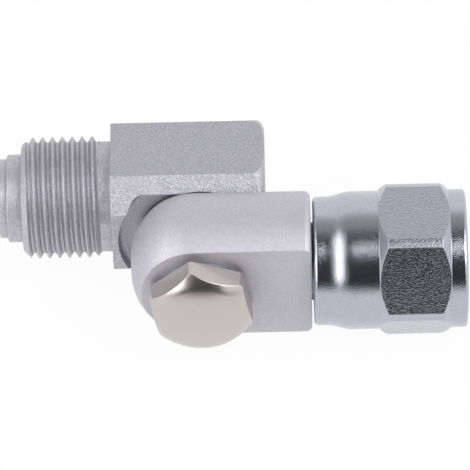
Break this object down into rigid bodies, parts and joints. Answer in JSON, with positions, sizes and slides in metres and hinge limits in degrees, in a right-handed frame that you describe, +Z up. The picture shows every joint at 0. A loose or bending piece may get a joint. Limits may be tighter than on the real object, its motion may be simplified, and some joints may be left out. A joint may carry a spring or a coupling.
{
  "type": "swivel fitting",
  "caption": "Swivel fitting: a square-bodied male thread outlet and a round inlet with a free-turning hex coupling nut, joined by a dome-headed hollow pivot bolt.",
  "frame": {"origin": "on the inlet pipe's axis, at the start of the coupling nut's female thread", "axes": "+X out of the coupling nut's open end, +Y along the pivot bolt from its head towards the outlet body, +Z up as the fitting lies"},
  "size_m": [0.0848, 0.0449, 0.0258],
  "materials": {
    "outlet_steel": "matt zinc-plated steel, fine blasted grain",
    "inlet_steel": "satin plated steel",
    "nut_zinc": "bright zinc, brushed flats",
    "bolt_nickel": "satin nickel",
    "washer_steel": "plain steel",
    "thrust_washer": "dark grey filled bearing plastic",
    "seal_rubber": "black seal rubber",
    "backup_plastic": "white backup ring plastic",
    "seat_plastic": "off-white seat plastic"
  },
  "bodies": {
    "inlet": {"inlet_body": "inlet_steel", "inlet_seal": "seat_plastic"},
    "outlet": {"outlet_body": "outlet_steel", "pivot_bolt": "bolt_nickel", "head_washer": "washer_steel", "joint_washer": "thrust_washer", "head_o_ring": "seal_rubber", "head_backup_ring": "backup_plastic", "joint_o_ring": "seal_rubber", "joint_backup_ring": "backup_plastic", "foot_seal": "seal_rubber"},
    "nut": {"coupling_nut": "nut_zinc"}
  },
  "joints": [
    {"name": "swivel", "type": "hinge", "parent": "inlet", "child": "outlet", "pos_m": [-0.04684, 0, 0], "axis": [0, 1, 0], "range_deg": [-95, 95]},
    {"name": "nut_spin", "type": "hinge", "parent": "inlet", "child": "nut", "pos_m": [-0.01, 0, 0], "axis": [1, 0, 0], "continuous": true}
  ]
}
